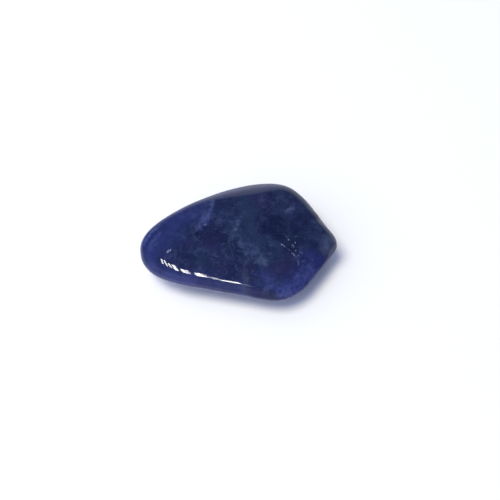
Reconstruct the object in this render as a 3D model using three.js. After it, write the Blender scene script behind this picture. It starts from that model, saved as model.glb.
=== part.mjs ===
// A tumbled sodalite pebble, lying on its one small flat spot. It is a single solid piece of stone.
//
// The pebble is a flat chip that was broken to five sides and then tumbled until every edge was round. It has
// an almost flat top that sinks towards the front, a soft bevel along the back, a broad slope that thins the
// front corner, walls that lean in below their waist, and a bellied underside with shallow hollows.
//
// Units are millimetres. +Z is up, +X runs from the blunt end to the pointed tip, and +Y runs from the front
// side to the back. The finished stone is centred, so its origin lies on the surface that it rests on, under
// the middle of its bounding box.

import * as THREE from "three";
import { mergeVertices } from "three/addons/utils/BufferGeometryUtils.js";

// ---- Driving dimensions -------------------------------------------------------------------------

const THICKNESS = 7.3; // from the resting surface to the middle of the top

// The widest outline, seen from above, anticlockwise from the blunt end. It is drawn as a smooth closed curve.
const OUTLINE = [
  [-15.85, -2.0], // blunt end
  [-15.6, -4.35],
  [-13.75, -6.7],
  [-9.9, -8.35],
  [-4.9, -9.26], // long front side
  [0.45, -10.36],
  [4.65, -11.37], // front corner
  [7.45, -11.19],
  [10.12, -9.6],
  [12.65, -6.5], // right-hand front side
  [14.85, -3.4],
  [15.75, -1.75], // pointed tip
  [15.55, -0.35],
  [14.27, 1.59],
  [12.66, 4.29], // right-hand back side
  [10.85, 7.04],
  [8.46, 9.3],
  [5.88, 10.19], // back corner
  [2.32, 10.06],
  [-1.77, 8.94],
  [-6.14, 6.94], // long back side
  [-9.5, 5.03],
  [-13.11, 2.37],
  [-14.95, 0.25],
];

const TOP_DOME = { x: 1, y: 2, radiusX: 130, radiusY: 80 }; // middle and radii of the gentle top dome
const TOP_TILT = { x: -1, y: 4 }; // how many degrees the top rises towards +X and towards +Y

// Flat facets on the top. heading is the way a facet faces, in degrees anticlockwise from +X; tilt is the
// angle between its normal and straight up; at is a point on it.
const BACK_BEVEL = { heading: 99, tilt: 17, at: [2.5, 7.0, 7.44] };
const FRONT_SLOPE = { heading: -50, tilt: 12, at: [6, -6, 6.4] };

// The walls and their edges, in front from the blunt end to the tip, and along the back. A wall curves in towards
// the top above its waist, with wallRadius, and leans in below its undercut. The roundings are how far its edges
// with the top and with the undercut are tumbled over.
const WALLS = {
  blunt: { waist: 4.0, wallRadius: 6.0, undercut: 3.0, rimRounding: 4.4, waistRounding: 2.2 },
  tip: { waist: 2.2, wallRadius: 2.4, undercut: 3.6, rimRounding: 2.6, waistRounding: 0.8 },
  back: { waist: 4.0, wallRadius: 6.0, undercut: 3.0, rimRounding: 1.8, waistRounding: 1.5 },
};
const WALL_BLEND = { x: [-14, 8], y: [-3.5, 0] }; // where blunt goes over to tip, and front to back

const UNDERCUT_LEAN = 37; // how many degrees the walls lean in below the undercut
const BELLY = { x: 0.7, y: 0.1, radiusX: 52, radiusY: 26, depth: 0.2 }; // underside dome, and how much is worn off it
const REST_EDGE = 0.06; // skin lower than this is worn flat too, so that the flat spot has a clear edge

// How far the other tumbled edges are rounded over.
const BEVEL_ROUNDING = 0.6; // top to back bevel
const SLOPE_ROUNDING = 1.2; // top to front slope
const FOOT_ROUNDING = 4.5; // undercut to underside

// Soft hollows and, with a depth below 0, swells that are left from the rough stone. at is the middle of each.
const HOLLOWS = [
  { at: [13.0, 2.3, 6.0], radius: 0.8, depth: 0.15 }, // nick in the right-hand back side
  { at: [12.4, 3.2, 6.0], radius: 1.0, depth: -0.05 }, // its raised lip
  { at: [-9.5, -3.0, 0.9], radius: 5.0, depth: 0.28 }, // underside, blunt end
  { at: [8.6, 4.6, 1.0], radius: 4.4, depth: 0.3 }, // underside, back
  { at: [9.4, -5.4, 1.3], radius: 3.4, depth: -0.16 }, // underside, front corner
  { at: [-5.6, 7.2, 3.2], radius: 4.0, depth: 0.22 }, // back wall
];

const FACES = { x: 40, y: 28, z: 20 }; // rows of faces along the length, the depth and the height
const CROWDING = 0.25; // how much closer together the rows lie at the rim and the foot
const MIDDLE_HEIGHT = 4; // of the point that the rows of faces spread out from
const SKIN_TOLERANCE = 1e-6; // how closely a corner is set on the skin

// ---- Shape ---------------------------------------------------------------------------------------

const radians = THREE.MathUtils.degToRad;

const outlineBox = new THREE.Box2().setFromPoints(OUTLINE.map(([x, y]) => new THREE.Vector2(x, y)));
const outlineSize = outlineBox.getSize(new THREE.Vector2());

const outline = new THREE.CatmullRomCurve3(
  OUTLINE.map(([x, y]) => new THREE.Vector3(x, y, 0)),
  true,
  "centripetal",
).getPoints(OUTLINE.length * 8);

// Distance from the outline in plan, negative inside it.
function outlineDistance(x, y) {
  let nearest = Infinity;
  let inside = false;
  for (let i = 0, j = outline.length - 1; i < outline.length; j = i++) {
    const a = outline[j];
    const b = outline[i];
    const ex = b.x - a.x;
    const ey = b.y - a.y;
    const along = ((x - a.x) * ex + (y - a.y) * ey) / (ex * ex + ey * ey || 1);
    const t = THREE.MathUtils.clamp(along, 0, 1);
    nearest = Math.min(nearest, Math.hypot(x - a.x - t * ex, y - a.y - t * ey));
    if (a.y > y !== b.y > y && x < a.x + (ex * (y - a.y)) / ey) inside = !inside;
  }
  return inside ? -nearest : nearest;
}

// The larger of two distances, with the edge between them rounded over.
function rounded(a, b, rounding) {
  const h = Math.max(rounding - Math.abs(a - b), 0) / rounding;
  return Math.max(a, b) + (h * h * h * rounding) / 6;
}

function facet({ heading, tilt, at }) {
  const normal = new THREE.Vector3(
    Math.sin(radians(tilt)) * Math.cos(radians(heading)),
    Math.sin(radians(tilt)) * Math.sin(radians(heading)),
    Math.cos(radians(tilt)),
  );
  return new THREE.Plane().setFromNormalAndCoplanarPoint(normal, new THREE.Vector3(...at));
}

const backBevel = facet(BACK_BEVEL);
const frontSlope = facet(FRONT_SLOPE);

function topHeight(x, y) {
  const dx = x - TOP_DOME.x;
  const dy = y - TOP_DOME.y;
  const dome = (dx * dx) / (2 * TOP_DOME.radiusX) + (dy * dy) / (2 * TOP_DOME.radiusY);
  return THICKNESS - dome + dx * Math.tan(radians(TOP_TILT.x)) + dy * Math.tan(radians(TOP_TILT.y));
}

function bellyHeight(x, y) {
  const dx = x - BELLY.x;
  const dy = y - BELLY.y;
  return (dx * dx) / (2 * BELLY.radiusX) + (dy * dy) / (2 * BELLY.radiusY) - BELLY.depth;
}

function hollowDepth({ x, y, z }) {
  let total = 0;
  for (const { at, radius, depth } of HOLLOWS) {
    const reach = Math.hypot(x - at[0], y - at[1], z - at[2]) / radius;
    if (reach < 1) total += depth * (1 - reach * reach) ** 3;
  }
  return total;
}

// What WALLS says at a place in plan.
function wallAt(x, y) {
  const { lerp, smoothstep } = THREE.MathUtils;
  const towardsTip = smoothstep(x, ...WALL_BLEND.x);
  const towardsBack = smoothstep(y, ...WALL_BLEND.y);
  const { blunt, tip, back } = WALLS;
  const blend = (name) => lerp(lerp(blunt[name], tip[name], towardsTip), back[name], towardsBack);
  return Object.fromEntries(Object.keys(back).map((name) => [name, blend(name)]));
}

// Negative inside the stone, positive outside it, zero on its skin.
function stone(point) {
  const { x, y, z } = point;
  let top = z - topHeight(x, y);
  top = rounded(top, backBevel.distanceToPoint(point), BEVEL_ROUNDING);
  top = rounded(top, frontSlope.distanceToPoint(point), SLOPE_ROUNDING);
  const { waist, wallRadius, undercut, rimRounding, waistRounding } = wallAt(x, y);
  const fromOutline = outlineDistance(x, y);
  const wall = fromOutline + Math.max(z - waist, 0) ** 2 / (2 * wallRadius);
  const lean = radians(UNDERCUT_LEAN);
  const lowWall = fromOutline * Math.cos(lean) + (undercut - z) * Math.sin(lean);
  const underside = Math.max(bellyHeight(x, y), 0) - z;
  const upper = rounded(top, wall, rimRounding);
  const lower = rounded(lowWall, underside, FOOT_ROUNDING);
  return rounded(upper, lower, waistRounding) + hollowDepth(point);
}

// The point where a ray from the middle of the stone leaves it.
function skinAlong(direction, middle) {
  let inside = 0;
  let outside = outlineSize.length();
  const point = new THREE.Vector3();
  while (outside - inside > SKIN_TOLERANCE) {
    const reach = (inside + outside) / 2;
    point.copy(direction).multiplyScalar(reach).add(middle);
    if (stone(point) < 0) inside = reach;
    else outside = reach;
  }
  if (point.z < REST_EDGE) point.z = 0;
  return point;
}

// Moves a row of faces towards the nearest edge of the box, where the stone is roundest.
function crowded(side) {
  return side * (1 + CROWDING - CROWDING * side * side);
}

// A box of small square faces, blown up to a ball and then drawn in to the skin of the stone.
function pebbleGeometry() {
  const box = new THREE.BoxGeometry(2, 2, 2, FACES.x, FACES.y, FACES.z);
  box.deleteAttribute("normal");
  box.deleteAttribute("uv");
  const geometry = mergeVertices(box);
  const position = geometry.getAttribute("position");
  const middle = new THREE.Vector3(0, 0, MIDDLE_HEIGHT);
  const size = new THREE.Vector3(outlineSize.x, outlineSize.y, THICKNESS);
  const direction = new THREE.Vector3();
  for (let i = 0; i < position.count; i++) {
    direction.fromBufferAttribute(position, i);
    direction.set(crowded(direction.x), crowded(direction.y), direction.z);
    direction.normalize().multiply(size).normalize();
    position.setXYZ(i, ...skinAlong(direction, middle).toArray());
  }
  geometry.computeBoundingBox();
  const centre = geometry.boundingBox.getCenter(new THREE.Vector3());
  geometry.translate(-centre.x, -centre.y, 0);
  geometry.computeVertexNormals();
  return geometry;
}

const pebble = new THREE.Mesh(
  pebbleGeometry(),
  new THREE.MeshStandardMaterial({ color: 0x1e2660, roughness: 0.12, metalness: 0 }),
);
pebble.name = "sodalite_stone";

const part = new THREE.Group();
part.add(pebble);

export default part;
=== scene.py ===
"""A tumbled sodalite stone, finished as a polished gem: its skin, its chips and its coloured depths."""

import bpy
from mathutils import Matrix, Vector


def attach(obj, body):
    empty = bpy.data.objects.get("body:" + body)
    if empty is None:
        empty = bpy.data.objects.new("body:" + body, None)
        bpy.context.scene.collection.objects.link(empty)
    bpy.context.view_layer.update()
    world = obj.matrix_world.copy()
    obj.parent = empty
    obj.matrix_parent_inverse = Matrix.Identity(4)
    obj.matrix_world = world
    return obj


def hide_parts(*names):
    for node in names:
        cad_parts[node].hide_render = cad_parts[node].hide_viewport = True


bl_info = {
    "name": "Tumbled Sodalite Stone",
    "version": (1, 0, 0),
    "blender": (4, 5, 0),
    "location": "View3D > Sidebar > Sodalite",
    "description": "Makes a polished sodalite stone, and the studio that it lies in",
    "category": "Object",
}

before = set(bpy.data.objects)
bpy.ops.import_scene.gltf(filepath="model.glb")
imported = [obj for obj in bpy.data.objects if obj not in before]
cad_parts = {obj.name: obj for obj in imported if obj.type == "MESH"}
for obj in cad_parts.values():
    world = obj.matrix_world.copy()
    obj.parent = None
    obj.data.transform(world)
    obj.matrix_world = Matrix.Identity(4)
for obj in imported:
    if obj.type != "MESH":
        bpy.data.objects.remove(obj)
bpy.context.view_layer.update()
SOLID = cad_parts["sodalite_stone"]

MM = 0.001

# ---- How the skin is worked ----------------------------------------------------------------------

WELD_DISTANCE = 0.001 * MM
SQUARE_ANGLE = 0.9  # radians that two triangles may be off a flat square and still become one face
SWELL_FROM = 0.3 * MM  # height above which the skin is drawn out for smoothing
TOP_FACING = 0.3  # upward part of its normal from which the skin belongs to the top
TOP_FADE = 0.2  # how much more than that a mark needs for its full depth
CHIP_MARGIN = 0.25  # millimetres round a chip in which the faces are cut finer
CHIP_CUTS = 2
WAVE_SIZE = 4 * MM  # of the soft unevenness in the polish

# ---- Colours, as linear light --------------------------------------------------------------------

INK = (0.0028, 0.0072, 0.033)
DARK_NAVY = (0.0055, 0.0105, 0.042)
NAVY = (0.0100, 0.0170, 0.057)
GREEN_BLUE = (0.0125, 0.0245, 0.064)
PLUM = (0.0150, 0.0150, 0.062)
DEEP_BLUE = (0.0100, 0.0140, 0.080)
VIVID_BLUE = (0.0165, 0.0245, 0.110)
BRIGHT_BLUE = (0.0180, 0.0240, 0.140)
RIM_BLUE = (0.0280, 0.0370, 0.145)
PERIWINKLE = (0.0440, 0.0570, 0.205)
CLOUD_BLUE = (0.0360, 0.0530, 0.118)
VEIN = (0.0560, 0.0740, 0.200)
PALE_GREY = (0.0580, 0.0770, 0.155)
LILAC = (0.0850, 0.0900, 0.200)
OLIVE = (0.0110, 0.0190, 0.030)
SAGE = (0.0330, 0.0450, 0.078)
TIP_GREY = (0.0400, 0.0570, 0.110)
# Painted light: a pale line for the floor mirrored in the thin front edge and light shining through it.
PAINTED_EDGE_LIGHT = (0.20, 0.22, 0.36)
# Pale worn chips, partly real wear and partly a painted glint off their edges; also the colour of the
# hairlines and specks.
CHIP_WEAR_AND_GLINT = (0.30, 0.33, 0.46)

# ---- Places on the stone, in millimetres, seen from above ----------------------------------------

# Pits and cracks where the polish has broken: start, end, half width, depth.
CHIPS = [
    ((6.60, -2.10), (7.15, -2.50), 0.09, 0.05),
    ((8.20, -3.50), (8.60, -3.85), 0.11, 0.07),
    ((7.72, -1.27), (7.80, -1.35), 0.13, 0.08),
    ((8.78, -1.72), (8.84, -1.80), 0.11, 0.06),
    ((8.20, -2.10), (8.50, -2.15), 0.08, 0.05),
    ((8.50, -2.15), (8.60, -2.55), 0.08, 0.05),
    ((8.78, -3.05), (8.84, -3.12), 0.10, 0.05),
    ((9.22, -3.82), (9.28, -3.88), 0.11, 0.06),
    ((9.72, -3.27), (9.80, -3.35), 0.10, 0.05),
    ((9.80, -4.70), (10.20, -4.50), 0.07, 0.04),
    ((-11.02, -3.46), (-10.92, -3.36), 0.16, 0.08),
    ((-10.58, -3.18), (-10.54, -3.14), 0.13, 0.07),
]

# A broad shallow dent that bends what is mirrored in the polish, given in the same way.
DENTS = [
    ((3.55, -8.60), (3.65, -8.60), 2.80, 0.014),
]

# Hairline cracks and scratches that only catch a little light, drawn in the pale chip colour, which is
# partly a painted glint: path, half width, strength.
HAIRLINES = [
    ([(7.15, -2.50), (7.90, -3.10)], 0.08, 0.35),
    ([(8.60, -3.85), (9.00, -4.20)], 0.08, 0.35),
    ([(6.90, -0.20), (7.60, -1.00)], 0.08, 0.22),
    ([(8.25, -2.20), (8.25, -2.60)], 0.07, 0.30),
    ([(8.60, -0.85), (9.40, -0.65)], 0.09, 0.10),
    ([(9.45, -3.10), (9.55, -3.30)], 0.07, 0.35),
    ([(9.10, -4.50), (9.20, -5.40)], 0.12, 0.24),
    ([(9.35, -5.70), (9.35, -6.30), (9.00, -6.90), (8.70, -7.50)], 0.08, 0.16),
    ([(9.00, -6.90), (8.60, -7.20)], 0.07, 0.12),
    ([(5.60, 5.10), (4.60, 3.70), (4.15, 3.25)], 0.09, 0.08),
    ([(3.95, 2.70), (3.20, 1.90)], 0.07, 0.08),
    ([(1.80, -7.60), (1.80, -8.30)], 0.09, 0.16),
    ([(4.20, -8.00), (3.40, -8.90)], 0.09, 0.10),
    ([(12.05, 1.20), (12.30, 1.15)], 0.09, 0.40),
    ([(11.38, -4.12), (11.44, -4.18)], 0.09, 0.40),
    ([(10.28, -0.93), (10.34, -0.98)], 0.09, 0.25),
    ([(9.88, -6.58), (9.94, -6.64)], 0.09, 0.30),
    ([(-5.30, 1.05), (-5.20, 1.15)], 0.16, 0.45),
    ([(-11.00, -3.45), (-10.90, -3.35)], 0.26, 0.60),
    ([(-10.62, -3.20), (-10.56, -3.15)], 0.22, 0.60),
    ([(-4.20, -4.20), (-3.00, -4.40)], 0.09, 0.09),
    ([(-3.75, -3.90), (-3.40, -4.70)], 0.08, 0.06),
    ([(-2.00, -5.90), (-1.20, -5.30)], 0.08, 0.08),
    ([(-1.40, -1.60), (-1.50, -2.60), (-1.10, -3.40)], 0.09, 0.12),
    ([(-0.90, -1.40), (-1.00, -2.60)], 0.08, 0.08),
]

# Broad zones: path, inner and outer reach, colour, strength.
ZONES = [
    # Painted glow: the brighter blue round the blunt end stands in for light coming through the thin stone
    # there.
    ([(-15.0, -3.5), (-13.0, 0.5), (-8.4, 3.8)], 2.2, 5.4, VIVID_BLUE, 0.90),
    ([(-9.0, 2.6), (-6.8, 4.1)], 0.4, 2.2, RIM_BLUE, 0.30),
    # Painted light: the lighter blue along the front wall stands in for the floor mirrored in it and light
    # coming through the thin rim.
    ([(-13.4, -6.6), (-9.5, -7.8), (-7.5, -8.2)], 0.5, 2.0, RIM_BLUE, 0.90),
    ([(-7.5, -8.2), (-4.0, -8.7), (1.0, -9.6)], 0.4, 1.8, RIM_BLUE, 0.62),
    # Painted glow: the brighter blue at the thin lower right edge stands in for light coming through it.
    ([(12.4, -4.2), (9.6, -8.2)], 0.5, 3.6, BRIGHT_BLUE, 0.85),
    # Painted glow: the back edge is bluer, under the band of room mirrored there, standing in for light
    # coming through the thin rim.
    ([(-3.5, 7.2), (2.0, 8.7), (5.5, 9.2)], 0.5, 1.5, VIVID_BLUE, 0.55),
    # Painted light on the front wall, as above.
    ([(4.2, -7.6), (6.8, -8.4)], 0.4, 1.8, RIM_BLUE, 0.45),
    ([(4.6, 0.9), (6.0, 1.9), (6.2, 0.1)], 0.5, 2.1, INK, 1.50),
    ([(9.0, 1.0), (11.0, 2.6)], 0.3, 1.9, INK, 0.90),
    ([(9.4, -1.2), (12.0, -2.2)], 0.2, 1.7, INK, 0.85),
    ([(6.4, -0.9), (8.6, -3.0)], 0.2, 1.2, INK, 0.75),
    ([(11.5, -4.9), (11.8, -4.9)], 0.2, 0.9, INK, 0.50),
    ([(-6.6, 0.2), (-3.6, -1.2)], 0.6, 2.4, INK, 1.00),
    ([(-1.8, -2.3), (0.0, -3.4)], 0.5, 2.0, INK, 0.90),
    ([(0.2, -6.4), (-2.6, -5.4)], 0.2, 1.3, INK, 0.45),
    ([(1.0, 5.4), (1.6, 3.2)], 0.5, 2.2, GREEN_BLUE, 0.75),
    ([(0.5, 4.3), (1.6, 1.6), (3.0, -1.1), (3.2, -4.8)], 0.2, 1.3, GREEN_BLUE, 0.75),
    ([(1.2, 1.8), (1.4, 1.6)], 0.1, 0.8, OLIVE, 0.60),
    ([(-4.0, -2.8), (-2.2, -5.8)], 0.5, 2.2, PLUM, 0.55),
    ([(5.6, -6.8), (7.6, -5.4)], 0.4, 1.7, PLUM, 0.55),
    ([(11.2, -0.6), (12.6, -1.0)], 0.3, 1.2, PLUM, 0.40),
    ([(14.6, -0.4), (13.9, -2.2)], 0.3, 1.6, TIP_GREY, 0.95),
    ([(1.0, -7.0), (1.3, -9.4)], 0.2, 0.9, SAGE, 0.75),
    ([(2.2, -9.2), (3.8, -9.9)], 0.2, 0.9, PLUM, 0.50),
]

# Veins and clouds of paler mineral, and some painted light where a comment says so: path, inner and outer
# reach, colour, strength.
VEINS = [
    ([(-4.2, 5.5), (-4.4, 3.9), (-4.9, 2.9)], 0.0, 0.55, VEIN, 0.75),
    ([(-5.0, 3.0), (-5.5, 2.3), (-6.2, 0.7)], 0.1, 1.00, VEIN, 0.70),
    ([(-4.6, 2.6), (-5.3, 1.1)], 0.0, 0.60, VEIN, 0.45),
    ([(-4.0, 2.9), (-3.0, 2.1), (-2.2, 1.6)], 0.0, 0.55, CLOUD_BLUE, 0.45),
    ([(-3.3, 1.4), (-2.0, -0.1)], 0.0, 0.50, CLOUD_BLUE, 0.40),
    ([(-2.9, 3.4), (-1.2, 3.0)], 0.0, 0.60, CLOUD_BLUE, 0.30),
    ([(0.9, 3.4), (0.0, 1.6)], 0.0, 0.50, CLOUD_BLUE, 0.45),
    ([(0.0, 1.6), (-0.3, 0.9), (-0.6, 0.4)], 0.1, 0.60, PALE_GREY, 0.85),
    ([(-0.6, 0.4), (-1.2, -0.8), (-1.4, -1.6)], 0.0, 0.55, PALE_GREY, 0.50),
    ([(0.2, -2.1), (1.0, -3.1), (1.5, -4.1), (2.5, -5.1)], 0.1, 0.95, CLOUD_BLUE, 0.90),
    ([(2.2, -2.6), (3.2, -4.4)], 0.1, 1.15, CLOUD_BLUE, 0.65),
    ([(3.5, -5.0), (3.9, -5.2)], 0.2, 1.10, PALE_GREY, 0.65),
    ([(7.5, 3.9), (8.4, 4.1)], 0.0, 0.75, LILAC, 0.45),
    ([(7.7, 4.1), (8.1, 4.1)], 0.0, 0.45, LILAC, 0.40),
    # Painted reflection, these five: the pale lines at the blunt end, with dark lines between them, stand
    # in for the floor mirrored in its rounded rim.
    ([(-12.8, -2.0), (-13.8, -2.9)], 0.0, 0.60, VEIN, 0.30),
    ([(-12.7, 0.5), (-14.0, -1.1), (-14.7, -2.5)], 0.0, 0.50, INK, 0.45),
    ([(-12.1, 0.1), (-13.4, -1.3), (-13.9, -2.4)], 0.0, 0.45, VEIN, 0.45),
    ([(-12.6, 1.3), (-14.0, -0.2), (-14.9, -1.6)], 0.0, 0.45, VEIN, 0.90),
    ([(-12.9, 1.9), (-14.2, 0.5)], 0.0, 0.35, INK, 0.40),
    ([(13.7, -2.2), (14.0, -2.0)], 0.0, 0.50, VEIN, 0.60),
    ([(-6.0, -8.0), (-3.9, -8.4)], 0.2, 0.85, DEEP_BLUE, 0.95),
    ([(-2.3, -8.6), (-0.3, -9.0)], 0.2, 0.85, DEEP_BLUE, 0.90),
    ([(2.0, -8.8), (3.2, -9.3)], 0.1, 0.80, DEEP_BLUE, 0.90),
    ([(4.0, -9.4), (4.8, -9.0)], 0.1, 0.60, CLOUD_BLUE, 0.60),
    # Painted light, these three: the pale blue along the thin lower right and front edge stands in for
    # light coming through it and the floor mirrored in it.
    ([(11.5, -6.1), (9.0, -9.0), (7.0, -9.8)], 0.3, 2.0, PERIWINKLE, 0.90),
    ([(7.6, -9.4), (6.0, -9.2), (4.8, -8.2)], 0.2, 1.3, PERIWINKLE, 0.45),
    ([(9.6, -7.2), (11.0, -5.6)], 0.2, 1.5, PERIWINKLE, 0.45),
]

# A net of fine pale lines in the middle of the stone, along the folds of a pattern.
NET_PATH = [(-5.5, 1.0), (-1.5, -3.5), (2.0, -6.0)]
NET_REACH = (1.5, 5.0)  # inner and outer reach round that path
NET_LINE = 0.040  # how far off a fold the line along it ends
NET_STRENGTH = 0.60

# The thin front edge, where a pale line is painted as light: it stands in for the floor mirrored at the
# edge and light shining through the thin stone. Each pair is where the painted line starts and where it is
# full, counted from that side.
EDGE_BELOW = (2.9, 3.7)
EDGE_ABOVE = (4.15, 3.75)
EDGE_BACK = (-5.8, -6.6)
EDGE_TIP = (5.8, 2.6)
EDGE_BLUNT = (-13.0, -9.0)
EDGE_CLIMB_FROM = -6.0  # from here it climbs towards the blunt end
EDGE_CLIMB = 0.04  # millimetres for each millimetre
EDGE_STRENGTH = 0.55

# ---- Patterns in the rock ------------------------------------------------------------------------

# Each pattern: clouds to a millimetre, detail, roughness.
BROAD_DRIFT = (0.35, 3.0, 0.50)
FINE_DRIFT = (1.30, 3.0, 0.50)
MOTTLE = (0.32, 4.0, 0.60)
HUE = (0.21, 3.0, 0.55)
CLOUDS = (0.75, 5.0, 0.66)
ZONE_BREAKS = (0.60, 5.0, 0.66)
VEIN_BREAKS = (1.50, 5.0, 0.72)
FOLDS = (0.42, 3.0, 0.55)
GRAIN = (3.40, 4.0, 0.75)
SPARKLE = (7.00, 2.0, 0.50)
HAZE = (0.90, 3.0, 0.50)
SCRATCHES = (1.00, 2.0, 0.50)

# How far each drift moves what is drawn, in millimetres, and the hairlines' share of the fine one.
BROAD_DRIFT_REACH = 2.4
FINE_DRIFT_REACH = 0.9
HAIRLINE_DRIFT = 0.12

# Where in its pattern the lighter body starts, and where it is full.
LIGHT_BODY = (0.36, 0.60)

# Tints: where in its pattern each starts, where it is full, strength.
PLUM_TINT = (0.50, 0.62, 0.60)
GREEN_TINT = (0.48, 0.36, 0.45)
PALE_CLOUDS = (0.50, 0.70, 0.55)
DARK_CLOUDS = (0.48, 0.32, 0.55)
PALE_GRAIN = (0.45, 0.85, 0.36)
DARK_GRAIN = (0.48, 0.20, 0.38)

# Thinning out: where in a pattern the colour is thinnest, where it is full, what is left at the least.
ZONE_THINNING = (0.30, 0.66, 0.30)
VEIN_THINNING = (0.36, 0.62, 0.10)
EDGE_THINNING = (0.35, 0.60, 0.45)
SPARKLE_THINNING = (0.35, 0.60, 0.35)

# ---- The polish ----------------------------------------------------------------------------------

REFRACTION = 1.48
# The chips' wear and their pale colour, which is partly a painted glint, follow these two.
CHIP_EDGE = (0.10, 0.60)  # how deep in a chip its wear starts, and where it is full
CHIP_TINT = 0.55  # strength of the chips' pale colour, partly real wear and partly a painted glint
CHIP_ROUGHNESS = 0.4  # added in the chips
HAZE_EDGE = (0.3, 0.7)  # where in its pattern the haze starts, and where it is full
HAZE_ROUGHNESS = 0.02  # added in the haze
SCRATCH_TURN = 0.7  # radians
SCRATCH_STRETCH = (0.4, 9.0, 1.0)
SCRATCH_STRENGTH = 0.01
SCRATCH_DEPTH = 0.02 * MM

# ---- The studio, in metres where a line doesn't say otherwise ------------------------------------

AIM = Vector((1.752, 0.885, 0)) * MM  # where the camera looks
CAMERA_AWAY = Vector((0, -57.23, 91.59)) * MM  # from there to the camera
SENSOR_WIDTH = 36  # millimetres
NEAREST_SEEN = 1 * MM
FLOOR_DROP = 0.02 * MM  # how far the floor lies below the stone
FLOOR_ROUGHNESS = 0.9

KEY_PLACE = (-0.25, -0.06, 0.70)
KEY_SIZE = 0.34
KEY_COLOUR = (1.0, 0.95, 0.74)

# The lit panes of a window overhead: two ends seen from above and width, in millimetres, and brightness.
WINDOW_HEIGHT = 0.45
PANES = [
    ((-208, 14), (-226, -64), 11, 1.0),
    ((-187, 10), (-210, -100), 6, 1.0),
    ((-181, -33), (-200, -118), 6, 1.0),
    ((-167, -42), (-191, -165), 11, 1.0),
    ((-186, -120), (-193, -170), 15, 1.0),
    ((-149, -100), (-156, -200), 15, 1.0),
    ((-134, -112), (-144, -225), 19, 0.60),
    ((-108, -168), (-124, -292), 13, 1.0),
    ((-101, -260), (-109, -335), 19, 0.40),
    ((-71.5, -316), (-77.5, -370), 49, 1.0),
]

# The room that shows in the polish. A height goes from 0, which is level, to 1, which is straight up.
ROOM_COLOUR = (0.97, 0.985, 1.0)
BEHIND = (0.42, 0.91, 0)
BEHIND_EDGE = (0.30, 0.72)  # how near to straight behind the wall starts, and where it is full
WALL_TOP = (0.71, 0.61)  # heights where the wall starts and where it is full
WALL_GLOW = (0.0, 0.8, 1.55, 0.55)  # two heights, and the wall's brightness at each
AHEAD = (-0.35, -0.94, 0)
AHEAD_EDGE = (0.05, 0.55)
AHEAD_GLOW = (0.60, 0.80, 0.40, 0.0)
ELSEWHERE_GLOW = 0.12
SEEN_GLOW = 0.97  # of the room where it is seen past the floor

# The soft light from all round.
DOME_COLOUR = (0.57, 0.65, 1.0)
DOME_LEAN = (-1.2, -0.25, 0)  # towards where it grows stronger
DOME_LEAST = 0.05


# ---- Small helpers -------------------------------------------------------------------------------


def select_only(thing):
    """Makes one object the only one that the operators act on."""
    bpy.ops.object.select_all(action="DESELECT")
    thing.select_set(True)
    bpy.context.view_layer.objects.active = thing


def apply_modifier(thing, kind, **settings):
    """Puts a modifier on an object and makes what it does permanent."""
    modifier = thing.modifiers.new(kind.title(), kind)
    for name, value in settings.items():
        setattr(modifier, name, value)
    bpy.ops.object.modifier_apply(modifier=modifier.name)


def distance_to_line(point, start, end):
    """Distance in plan, in millimetres, from a point in metres to a line in millimetres."""
    at = Vector(point[:2]) / MM
    start, end = Vector(start), Vector(end)
    along = (at - start).dot(end - start) / (end - start).length_squared
    return (at - start.lerp(end, min(max(along, 0), 1))).length


def falloff(distance, half_width):
    """1 in the middle of a mark and 0 at its edge."""
    return max(0, 1 - (distance / half_width) ** 2) ** 2


# ---- The stone's shape ---------------------------------------------------------------------------


def copy_of_solid(name):
    """A welded copy of the solid with square faces, ready to be smoothed."""
    stone = bpy.data.objects.new(name, SOLID.data.copy())
    bpy.context.scene.collection.objects.link(stone)
    select_only(stone)
    bpy.ops.object.mode_set(mode="EDIT")
    bpy.ops.mesh.select_all(action="SELECT")
    bpy.ops.mesh.remove_doubles(threshold=WELD_DISTANCE)
    bpy.ops.mesh.tris_convert_to_quads(face_threshold=SQUARE_ANGLE, shape_threshold=SQUARE_ANGLE)
    bpy.ops.object.mode_set(mode="OBJECT")
    return stone


def smooth(thing):
    """Divides each face into four and rounds the skin."""
    apply_modifier(thing, "SUBSURF", levels=1, render_levels=1)


def swell_for_smoothing(thing):
    """Moves the corners out by what smoothing takes in, so that the smooth skin runs through them.

    The flat spot and the skin just round it stay as they are, so that nothing sinks into the floor.
    """
    trial = thing.copy()
    trial.data = thing.data.copy()
    bpy.context.scene.collection.objects.link(trial)
    select_only(trial)
    smooth(trial)
    # Smoothing keeps the corners that it started from at the head of the list.
    for corner, smoothed in zip(thing.data.vertices, trial.data.vertices):
        if corner.co.z > SWELL_FROM:
            corner.co += corner.co - smoothed.co
    bpy.data.objects.remove(trial)
    select_only(thing)


def refine_round(thing, marks):
    """Cuts the top faces round some marks finer, so that the marks can be carved."""
    bpy.ops.object.mode_set(mode="EDIT")
    bpy.ops.mesh.select_mode(type="FACE")
    bpy.ops.mesh.select_all(action="DESELECT")
    bpy.ops.object.mode_set(mode="OBJECT")
    for face in thing.data.polygons:
        near = any(
            distance_to_line(face.center, start, end) < half_width + CHIP_MARGIN
            for start, end, half_width, depth in marks
        )
        face.select = near and face.normal.z > TOP_FACING
    bpy.ops.object.mode_set(mode="EDIT")
    bpy.ops.mesh.subdivide(number_cuts=CHIP_CUTS, smoothness=0)
    bpy.ops.object.mode_set(mode="OBJECT")


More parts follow.
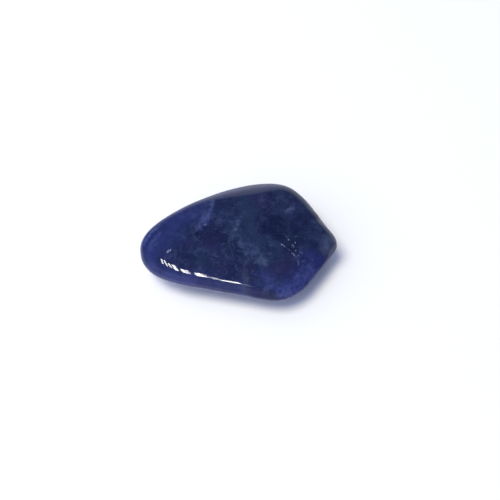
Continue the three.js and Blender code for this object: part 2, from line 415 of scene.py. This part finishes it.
def sink(thing, marks):
    """Sinks every mark into the skin, and gives how strong the marks are at each vertex."""
    deepest = max(depth for start, end, half_width, depth in marks)
    group = thing.vertex_groups.new(name="marks")
    strengths = []
    for vertex in thing.data.vertices:
        strength = max(
            falloff(distance_to_line(vertex.co, start, end), half_width) * depth / deepest
            for start, end, half_width, depth in marks
        )
        # The marks fade out where the top goes over into the walls.
        strength *= min(max((vertex.normal.z - TOP_FACING) / TOP_FADE, 0), 1)
        strengths.append(strength)
        if strength > 0:
            group.add([vertex.index], strength, "REPLACE")
    apply_modifier(
        thing,
        "DISPLACE",
        direction="NORMAL",
        mid_level=0,
        strength=-deepest * MM,
        vertex_group=group.name,
    )
    thing.vertex_groups.clear()
    return strengths


def carve(thing, marks):
    """Sinks every chip into the skin and keeps its strength as an attribute for the material."""
    strengths = sink(thing, marks)
    wear_and_glint = thing.data.attributes.new("chipped", "FLOAT", "POINT")
    wear_and_glint.data.foreach_set("value", strengths)


def make_wavy(thing, height):
    """Gives the polish the soft unevenness of a tumbled stone. The skin only sinks by it."""
    clouds = bpy.data.textures.new("tumbled unevenness", "CLOUDS")
    clouds.noise_scale = WAVE_SIZE
    clouds.noise_depth = 1
    apply_modifier(
        thing,
        "DISPLACE",
        texture=clouds,
        texture_coords="LOCAL",
        direction="NORMAL",
        mid_level=1,
        strength=height,
    )


# ---- Materials -----------------------------------------------------------------------------------

# The Mix node's sockets for colours, whose names it also gives to those for numbers.
MIX_FACTOR, MIX_A, MIX_B, MIX_RESULT = 0, 6, 7, 2


class Nodes:
    """Adds nodes to a tree, each already joined to what it reads."""

    def __init__(self, tree):
        self.tree = tree

    def feed(self, socket, value):
        """Gives a socket a plain value, or what another node gives out."""
        if isinstance(value, bpy.types.NodeSocket):
            self.tree.links.new(value, socket)
        else:
            socket.default_value = value

    def add(self, kind, inputs=None, **settings):
        node = self.tree.nodes.new(kind)
        for name, value in settings.items():
            setattr(node, name, value)
        for name, value in (inputs or {}).items():
            self.feed(node.inputs[name], value)
        return node

    def math(self, operation, a, b=0.0):
        return self.add("ShaderNodeMath", {0: a, 1: b}, operation=operation).outputs[0]

    def vector(self, operation, a, b):
        node = self.add("ShaderNodeVectorMath", {0: a, 1: b}, operation=operation)
        return node.outputs["Value" if operation == "DOT_PRODUCT" else "Vector"]

    def length(self, a):
        return self.add("ShaderNodeVectorMath", {0: a}, operation="LENGTH").outputs["Value"]

    def scaled(self, a, scale):
        node = self.add("ShaderNodeVectorMath", {0: a, "Scale": scale}, operation="SCALE")
        return node.outputs["Vector"]

    def ramp(self, value, start, full, at_start=0.0, at_full=1.0):
        """A smooth step from at_start, where the value is start, to at_full, where it is full."""
        (low, at_low), (high, at_high) = sorted([(start, at_start), (full, at_full)])
        inputs = {"Value": value, "From Min": low, "From Max": high, "To Min": at_low, "To Max": at_high}
        return self.add("ShaderNodeMapRange", inputs, interpolation_type="SMOOTHSTEP").outputs["Result"]

    def noise(self, point, pattern, output="Fac"):
        """One of the patterns in the rock, read at a point."""
        scale, detail, roughness = pattern
        inputs = {"Vector": point, "Scale": scale, "Detail": detail, "Roughness": roughness}
        return self.add("ShaderNodeTexNoise", inputs).outputs[output]

    def mix(self, factor, a, b):
        """Colour a where the factor is 0, and colour b where it is 1."""
        node = self.add("ShaderNodeMix", {MIX_FACTOR: factor}, data_type="RGBA")
        for socket, colour in ((MIX_A, a), (MIX_B, b)):
            plain = not isinstance(colour, bpy.types.NodeSocket)
            self.feed(node.inputs[socket], (*colour, 1) if plain else colour)
        return node.outputs[MIX_RESULT]


def line_distance_group():
    """A node group for the distance in plan from a point to a line."""
    tree = bpy.data.node_groups.new("Distance to a line", "ShaderNodeTree")
    for name in ("Point", "Start", "End"):
        tree.interface.new_socket(name, in_out="INPUT", socket_type="NodeSocketVector")
    tree.interface.new_socket("Distance", in_out="OUTPUT", socket_type="NodeSocketFloat")
    nodes = Nodes(tree)
    ends = nodes.add("NodeGroupInput").outputs
    point = nodes.vector("MULTIPLY", ends["Point"], (1, 1, 0))
    from_start = nodes.vector("SUBTRACT", point, ends["Start"])
    line = nodes.vector("SUBTRACT", ends["End"], ends["Start"])
    share = nodes.math(
        "DIVIDE",
        nodes.vector("DOT_PRODUCT", from_start, line),
        nodes.vector("DOT_PRODUCT", line, line),
    )
    along = nodes.math("MAXIMUM", nodes.math("MINIMUM", share, 1.0), 0.0)
    away = nodes.length(nodes.vector("SUBTRACT", from_start, nodes.scaled(line, along)))
    nodes.add("NodeGroupOutput", {"Distance": away})
    return tree


class StonePattern:
    """The colours of the stone, laid over each other, each at its place in the rock."""

    def __init__(self, nodes, dark, light):
        self.nodes = nodes
        self.line_distance = line_distance_group()
        place = nodes.add("ShaderNodeTexCoord").outputs["Object"]
        in_mm = nodes.add("ShaderNodeMapping", {"Vector": place, "Scale": (1 / MM,) * 3})
        self.point = in_mm.outputs["Vector"]
        self.broad = self.drifted(BROAD_DRIFT, BROAD_DRIFT_REACH)
        self.fine = self.drifted(FINE_DRIFT, FINE_DRIFT_REACH)
        mottle = nodes.noise(self.broad, MOTTLE)
        self.colour = nodes.mix(nodes.ramp(mottle, *LIGHT_BODY), dark, light)

    def drifted(self, pattern, reach):
        """The point, moved about by a pattern, so that what is drawn with it gets uneven edges."""
        spread = self.nodes.noise(self.point, pattern, "Color")
        middle = (0.5,) * 3
        moved = self.nodes.scaled(self.nodes.vector("SUBTRACT", spread, middle), reach)
        return self.nodes.vector("ADD", self.point, moved)

    def near(self, point, path, inner, outer):
        """1 within inner of a path and 0 past outer, in millimetres."""
        mask = None
        for start, end in zip(path, path[1:]):
            inputs = {"Point": point, "Start": (*start, 0), "End": (*end, 0)}
            away = self.nodes.add("ShaderNodeGroup", inputs, node_tree=self.line_distance)
            part = self.nodes.ramp(away.outputs["Distance"], outer, inner)
            mask = part if mask is None else self.nodes.math("MAXIMUM", mask, part)
        return mask

    def thinning(self, point, pattern, limits):
        """A mask that thins out a colour here and there."""
        return self.nodes.ramp(self.nodes.noise(point, pattern), *limits)

    def paint(self, mask, colour, strength, thinning=None):
        """Lays a colour over what is there already."""
        mask = self.nodes.math("MULTIPLY", mask, strength)
        if thinning is not None:
            mask = self.nodes.math("MULTIPLY", mask, thinning)
        self.colour = self.nodes.mix(mask, self.colour, colour)

    def tint(self, pattern, colour, start, full, strength):
        """Lays a colour where a pattern is strong, or where it is weak if start is larger than full."""
        self.paint(self.nodes.ramp(pattern, start, full), colour, strength)


def lay_clouds(stone, cloud_colour):
    """Tints of plum and green, then pale and dark clouds. Gives the clouds' pattern."""
    hue = stone.nodes.noise(stone.broad, HUE)
    stone.tint(hue, PLUM, *PLUM_TINT)
    stone.tint(hue, GREEN_BLUE, *GREEN_TINT)
    clouds = stone.nodes.noise(stone.fine, CLOUDS)
    stone.tint(clouds, cloud_colour, *PALE_CLOUDS)
    stone.tint(clouds, INK, *DARK_CLOUDS)
    return clouds


def lay_zones(stone):
    thinning = stone.thinning(stone.fine, ZONE_BREAKS, ZONE_THINNING)
    for path, inner, outer, colour, strength in ZONES:
        stone.paint(stone.near(stone.broad, path, inner, outer), colour, strength, thinning)


def lay_veins(stone, net_colour):
    """The veins, and the net in the middle. Gives the mask that thins them out."""
    nodes = stone.nodes
    thinning = stone.thinning(stone.point, VEIN_BREAKS, VEIN_THINNING)
    for path, inner, outer, colour, strength in VEINS:
        stone.paint(stone.near(stone.fine, path, inner, outer), colour, strength, thinning)
    middle = stone.near(stone.fine, NET_PATH, *NET_REACH)
    folds = nodes.math("SUBTRACT", nodes.noise(stone.broad, FOLDS), 0.5)
    net = nodes.ramp(nodes.math("ABSOLUTE", folds), NET_LINE, 0.0)
    stone.paint(nodes.math("MULTIPLY", net, middle), net_colour, NET_STRENGTH, thinning)
    return thinning


def lay_grain(stone):
    grain = stone.nodes.noise(stone.point, GRAIN)
    stone.tint(grain, PERIWINKLE, *PALE_GRAIN)
    stone.tint(grain, INK, *DARK_GRAIN)


def lay_hairlines(stone, colour, thinning):
    nodes = stone.nodes
    drift = nodes.scaled(nodes.vector("SUBTRACT", stone.fine, stone.point), HAIRLINE_DRIFT)
    place = nodes.vector("ADD", stone.point, drift)
    for path, half_width, strength in HAIRLINES:
        stone.paint(stone.near(place, path, 0.0, half_width), colour, strength, thinning)


def lay_painted_edge_light(stone, clouds):
    """A pale line painted along the thin front edge, for the floor mirrored there and light shining
    through the stone.
    """
    nodes = stone.nodes
    x, y, z = nodes.add("ShaderNodeSeparateXYZ", {0: stone.point}).outputs
    past = nodes.math("MINIMUM", nodes.math("ADD", x, -EDGE_CLIMB_FROM), 0.0)
    z = nodes.math("ADD", z, nodes.math("MULTIPLY", past, EDGE_CLIMB))
    edge = nodes.math("MULTIPLY", nodes.ramp(z, *EDGE_BELOW), nodes.ramp(z, *EDGE_ABOVE))
    for across, limits in ((y, EDGE_BACK), (x, EDGE_TIP), (x, EDGE_BLUNT)):
        edge = nodes.math("MULTIPLY", edge, nodes.ramp(across, *limits))
    # Painted light along the front edge: a painted reflection and glow, not a colour of the stone.
    stone.paint(edge, PAINTED_EDGE_LIGHT, EDGE_STRENGTH, nodes.ramp(clouds, *EDGE_THINNING))


def polished_skin(stone, chip_and_glint_colour, polish):
    """The gloss over the colours, with its haze, its fine scratches and its worn chips, whose pale colour
    is partly a painted glint.
    """
    nodes = stone.nodes
    chipped = nodes.add("ShaderNodeAttribute", attribute_name="chipped").outputs["Fac"]
    sparkle = stone.thinning(stone.point, SPARKLE, SPARKLE_THINNING)
    wear_and_glint = nodes.math("MULTIPLY", nodes.ramp(chipped, *CHIP_EDGE), sparkle)
    # The chips' pale colour is partly a painted glint.
    colour = nodes.mix(nodes.math("MULTIPLY", wear_and_glint, CHIP_TINT), stone.colour, chip_and_glint_colour)

    haze = nodes.ramp(nodes.noise(stone.point, HAZE), *HAZE_EDGE, 0.0, HAZE_ROUGHNESS)
    roughness = nodes.math("ADD", haze, polish)
    roughness = nodes.math("ADD", roughness, nodes.math("MULTIPLY", wear_and_glint, CHIP_ROUGHNESS))

    turned = {"Vector": stone.point, "Rotation": (0, 0, SCRATCH_TURN), "Scale": SCRATCH_STRETCH}
    lengthwise = nodes.add("ShaderNodeMapping", turned).outputs["Vector"]
    scratches = nodes.noise(lengthwise, SCRATCHES)
    relief = {"Height": scratches, "Strength": SCRATCH_STRENGTH, "Distance": SCRATCH_DEPTH}
    bump = nodes.add("ShaderNodeBump", relief).outputs["Normal"]
    finish = {"Base Color": colour, "Roughness": roughness, "IOR": REFRACTION, "Normal": bump}
    return nodes.add("ShaderNodeBsdfPrincipled", finish).outputs["BSDF"]


def sodalite_material(settings):
    """Deep blue polished stone with zones, veins, clouds, specks and hairline cracks, and painted light:
    glints in the chips, and brighter blue and pale lines along the thin edges.
    """
    material = bpy.data.materials.new("polished sodalite")
    material.use_nodes = True
    material.node_tree.nodes.clear()
    nodes = Nodes(material.node_tree)
    stone = StonePattern(nodes, settings.dark_body, settings.light_body)
    clouds = lay_clouds(stone, settings.clouds)
    lay_zones(stone)
    vein_thinning = lay_veins(stone, settings.clouds)
    lay_grain(stone)
    lay_hairlines(stone, settings.chips, vein_thinning)
    lay_painted_edge_light(stone, clouds)
    skin = polished_skin(stone, settings.chips, settings.polish)
    nodes.add("ShaderNodeOutputMaterial", {"Surface": skin})
    return material


def plain_material(name, colour, roughness):
    """A dull material of one colour, in which nothing is mirrored."""
    material = bpy.data.materials.new(name)
    material.use_nodes = True
    shader = material.node_tree.nodes["Principled BSDF"]
    shader.inputs["Base Color"].default_value = (*colour, 1)
    shader.inputs["Roughness"].default_value = roughness
    shader.inputs["Specular IOR Level"].default_value = 0
    return material


# ---- The studio ----------------------------------------------------------------------------------


def look_at(thing, target):
    """Turns a camera or a lamp to face a point."""
    thing.rotation_euler = (target - thing.location).to_track_quat("-Z", "Y").to_euler()


def add_camera(settings):
    bpy.ops.object.camera_add(location=AIM + CAMERA_AWAY)
    camera = bpy.context.active_object
    look_at(camera, AIM)
    camera.data.sensor_width = SENSOR_WIDTH
    camera.data.lens = settings.lens
    camera.data.clip_start = NEAREST_SEEN
    bpy.context.scene.camera = camera


def add_floor(settings):
    bpy.ops.mesh.primitive_plane_add(size=settings.floor_size, location=(0, 0, -FLOOR_DROP))
    floor = bpy.context.active_object
    floor.name = "floor"
    bpy.ops.object.transform_apply(location=True, rotation=True, scale=True)
    floor.data.materials.append(plain_material("pale floor", settings.floor_colour, FLOOR_ROUGHNESS))


def add_key_light(settings):
    """A large soft lamp overhead, to the left. It lights the stone but isn't mirrored in it."""
    bpy.ops.object.light_add(type="AREA", location=KEY_PLACE)
    lamp = bpy.context.active_object
    lamp.name = "key"
    lamp.data.size = KEY_SIZE
    lamp.data.color = KEY_COLOUR
    lamp.data.energy = settings.key_power
    lamp.visible_glossy = False
    look_at(lamp, AIM)


def add_window(settings):
    """Panes that show in the polish as a broken white streak along the front edge."""
    for number, (start, end, width, brightness) in enumerate(PANES, 1):
        start, end = Vector(start), Vector(end)
        length = (end - start).length
        bpy.ops.object.light_add(type="AREA", location=(*(start + end) / 2 * MM, WINDOW_HEIGHT))
        pane = bpy.context.active_object
        pane.name = f"pane {number}"
        pane.data.shape = "RECTANGLE"
        pane.data.size = length * MM
        pane.data.size_y = width * MM
        pane.data.energy = settings.pane_brightness * brightness * width * length * MM * MM
        pane.rotation_euler = (0, 0, (end - start).angle_signed(Vector((1, 0))))
        pane.visible_diffuse = False


def mirrored_room(nodes, direction):
    """How bright the room in the polish is: a wall low down behind, and a dimmer one ahead."""
    height = nodes.add("ShaderNodeSeparateXYZ", {0: direction}).outputs["Z"]
    wall = nodes.math("MULTIPLY", nodes.ramp(height, *WALL_TOP), nodes.ramp(height, *WALL_GLOW))
    behind = nodes.ramp(nodes.vector("DOT_PRODUCT", direction, BEHIND), *BEHIND_EDGE)
    ahead = nodes.ramp(nodes.vector("DOT_PRODUCT", direction, AHEAD), *AHEAD_EDGE)
    ahead = nodes.math("MULTIPLY", ahead, nodes.ramp(height, *AHEAD_GLOW))
    wall = nodes.math("MULTIPLY", wall, behind)
    return nodes.math("ADD", wall, nodes.math("ADD", ahead, ELSEWHERE_GLOW))


def set_world(settings):
    """Soft light that is stronger from the left, and the room that shows in the polish."""
    world = bpy.data.worlds.new("studio")
    bpy.context.scene.world = world
    world.use_nodes = True
    world.node_tree.nodes.clear()
    nodes = Nodes(world.node_tree)
    direction = nodes.add("ShaderNodeTexCoord").outputs["Generated"]
    room = mirrored_room(nodes, direction)
    sides = nodes.vector("DOT_PRODUCT", direction, DOME_LEAN)
    dome = nodes.math("MAXIMUM", nodes.math("ADD", sides, 1.0), DOME_LEAST)

    ray = nodes.add("ShaderNodeLightPath").outputs
    strength = nodes.math("MULTIPLY", ray["Is Glossy Ray"], room)
    dome = nodes.math("MULTIPLY", nodes.math("MULTIPLY", ray["Is Diffuse Ray"], dome), settings.dome)
    strength = nodes.math("ADD", strength, dome)
    strength = nodes.math("ADD", strength, nodes.math("MULTIPLY", ray["Is Camera Ray"], SEEN_GLOW))
    colour = nodes.mix(ray["Is Diffuse Ray"], ROOM_COLOUR, DOME_COLOUR)
    background = nodes.add("ShaderNodeBackground", {"Color": colour, "Strength": strength})
    nodes.add("ShaderNodeOutputWorld", {"Surface": background.outputs[0]})


# ---- Settings, operators and panel ---------------------------------------------------------------


class StoneSettings(bpy.types.PropertyGroup):
    waviness: bpy.props.FloatProperty(
        name="Waviness",
        description="How deep the soft unevenness of the polish is",
        default=0.004 * MM,
        unit="LENGTH",
    )
    polish: bpy.props.FloatProperty(
        name="Polish",
        description="Roughness of the polished skin where it is at its best",
        default=0.03,
        min=0,
        max=1,
        subtype="FACTOR",
    )
    dark_body: bpy.props.FloatVectorProperty(
        name="Dark Body",
        description="Colour of the darker parts of the stone's body",
        default=DARK_NAVY,
        subtype="COLOR",
    )
    light_body: bpy.props.FloatVectorProperty(
        name="Light Body",
        description="Colour of the lighter parts of the stone's body",
        default=NAVY,
        subtype="COLOR",
    )
    clouds: bpy.props.FloatVectorProperty(
        name="Clouds",
        description="Colour of the pale clouds, and of the fine net in the middle",
        default=CLOUD_BLUE,
        subtype="COLOR",
    )
    # Partly a painted glint on the chips.
    chips: bpy.props.FloatVectorProperty(
        name="Chips",
        description="Colour of the chips and the hairline cracks",
        default=CHIP_WEAR_AND_GLINT,
        subtype="COLOR",
    )


class StageSettings(bpy.types.PropertyGroup):
    lens: bpy.props.FloatProperty(
        name="Lens",
        description="Focal length of the camera",
        default=46.8,
        unit="CAMERA",
    )
    floor_size: bpy.props.FloatProperty(
        name="Floor Size",
        description="Side of the square floor",
        default=4.0,
        unit="LENGTH",
    )
    floor_colour: bpy.props.FloatVectorProperty(
        name="Floor Colour",
        description="Colour of the floor",
        default=(0.84, 0.84, 0.84),
        subtype="COLOR",
    )
    dome: bpy.props.FloatProperty(
        name="Dome",
        description="Brightness of the soft light from all round",
        default=0.87,
    )
    key_power: bpy.props.FloatProperty(
        name="Key Light",
        description="Power of the large soft lamp overhead",
        default=4.5,
        unit="POWER",
    )
    pane_brightness: bpy.props.FloatProperty(
        name="Window",
        description="Power of the window panes for each square metre",
        default=100.0,
    )


class SODALITE_OT_stone(bpy.types.Operator):
    """Make the polished stone from the solid"""

    bl_idname = "sodalite.stone"
    bl_label = "Make the Stone"

    def execute(self, context):
        settings = context.scene.sodalite_stone
        stone = copy_of_solid("polished_stone")
        swell_for_smoothing(stone)
        smooth(stone)
        refine_round(stone, CHIPS)
        smooth(stone)
        make_wavy(stone, settings.waviness)
        sink(stone, DENTS)
        carve(stone, CHIPS)
        bpy.ops.object.shade_smooth()
        stone.data.materials.clear()
        stone.data.materials.append(sodalite_material(settings))
        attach(stone, "root")
        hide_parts("sodalite_stone")
        return {"FINISHED"}


class SODALITE_OT_stage(bpy.types.Operator):
    """Set up the floor, the lights and the camera"""

    bl_idname = "sodalite.stage"
    bl_label = "Set the Stage"

    def execute(self, context):
        settings = context.scene.sodalite_stage
        context.scene.view_settings.view_transform = "Standard"
        add_camera(settings)
        add_floor(settings)
        add_key_light(settings)
        add_window(settings)
        set_world(settings)
        return {"FINISHED"}


class SODALITE_PT_panel(bpy.types.Panel):
    """Lists the steps and their settings"""

    bl_label = "Sodalite Stone"
    bl_idname = "SODALITE_PT_panel"
    bl_space_type = "VIEW_3D"
    bl_region_type = "UI"
    bl_category = "Sodalite"

    def draw(self, context):
        for operator, settings in (
            (SODALITE_OT_stone, context.scene.sodalite_stone),
            (SODALITE_OT_stage, context.scene.sodalite_stage),
        ):
            box = self.layout.box()
            for name in settings.__annotations__:
                box.prop(settings, name)
            box.operator(operator.bl_idname)


CLASSES = (StoneSettings, StageSettings, SODALITE_OT_stone, SODALITE_OT_stage, SODALITE_PT_panel)


def register():
    for each in CLASSES:
        bpy.utils.register_class(each)
    bpy.types.Scene.sodalite_stone = bpy.props.PointerProperty(type=StoneSettings)
    bpy.types.Scene.sodalite_stage = bpy.props.PointerProperty(type=StageSettings)


def unregister():
    del bpy.types.Scene.sodalite_stage
    del bpy.types.Scene.sodalite_stone
    for each in reversed(CLASSES):
        bpy.utils.unregister_class(each)


def main():
    register()
    bpy.ops.sodalite.stone()
    bpy.ops.sodalite.stage()


if __name__ == "__main__":
    main()
